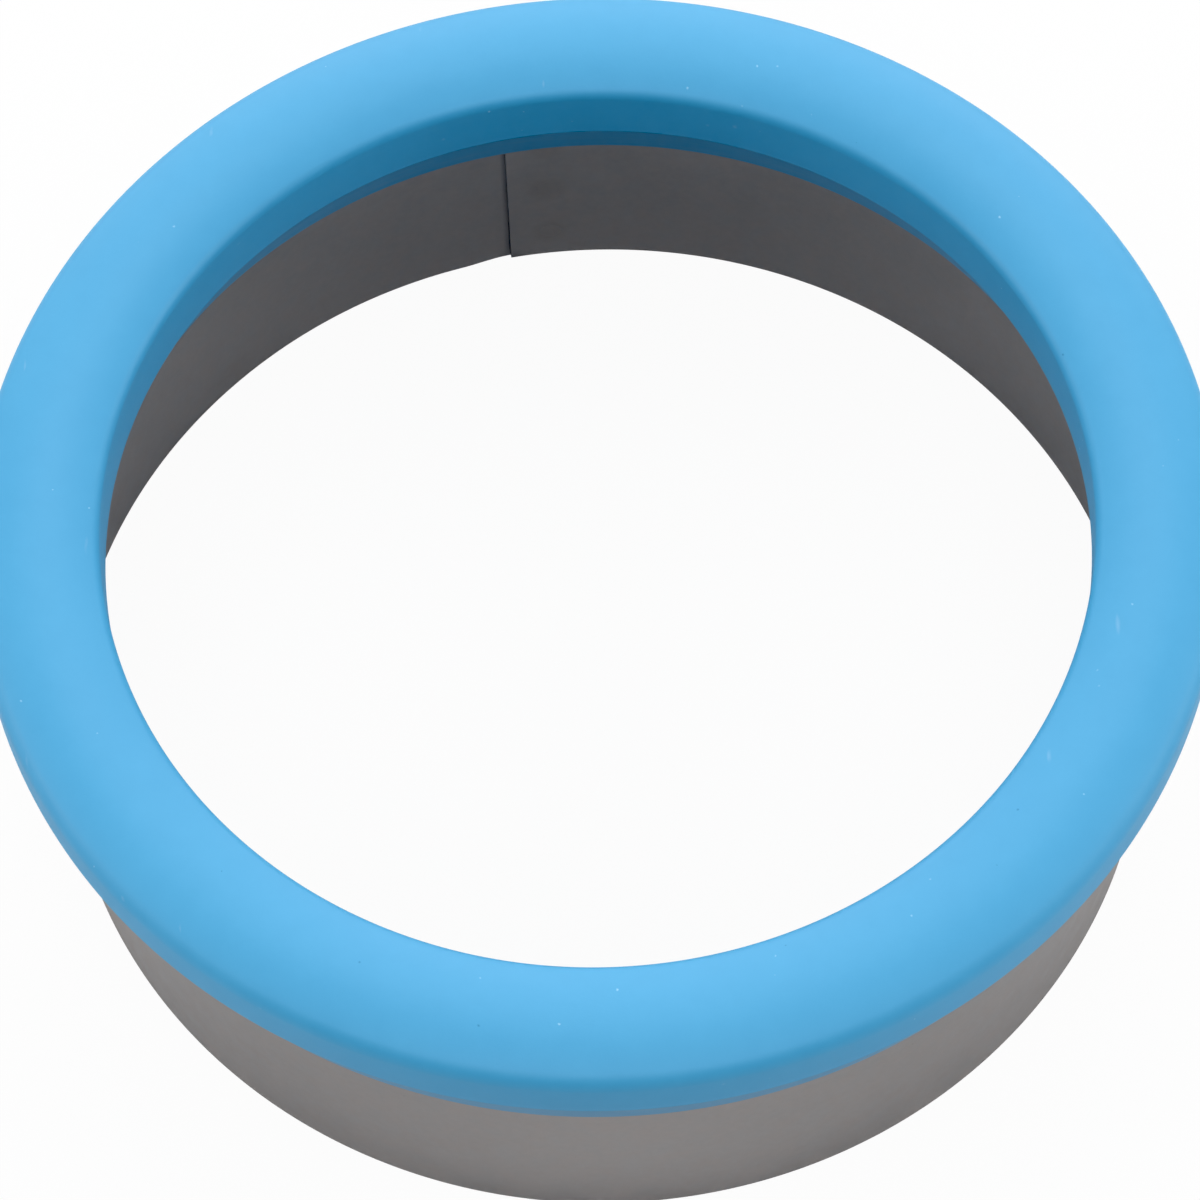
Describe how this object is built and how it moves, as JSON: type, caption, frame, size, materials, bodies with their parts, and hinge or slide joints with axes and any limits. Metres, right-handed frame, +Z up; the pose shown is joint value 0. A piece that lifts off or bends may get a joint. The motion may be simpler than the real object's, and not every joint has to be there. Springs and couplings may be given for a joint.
{
  "type": "biscuit cutter",
  "caption": "Round biscuit cutter: a lapped and spot-welded steel strip ring under a wide, crowned soft ring grip on a moulded carrier, open right through",
  "frame": {"origin": "centre of the cutting edge, on the surface that the cutter stands on", "axes": "+Z up along the ring's axis, towards the grip; +X to the right and +Y away from the viewer of the picture; the strip's seam is behind, left of +Y"},
  "size_m": [0.1108, 0.1108, 0.0381],
  "materials": {
    "band_steel": "satin rolled stainless strip with faint mottling and fine handling scratches",
    "weld_steel": "flat spot-weld marks, slightly duller than the strip",
    "carrier_plastic": "moulded plastic, satin",
    "cushion_rubber": "soft-touch matte elastomer, pale blue, very fine grain"
  },
  "bodies": {
    "root": {"cutter_band": "band_steel", "spot_welds": "weld_steel", "grip_carrier": "carrier_plastic", "grip_cushion": "cushion_rubber"}
  },
  "joints": []
}
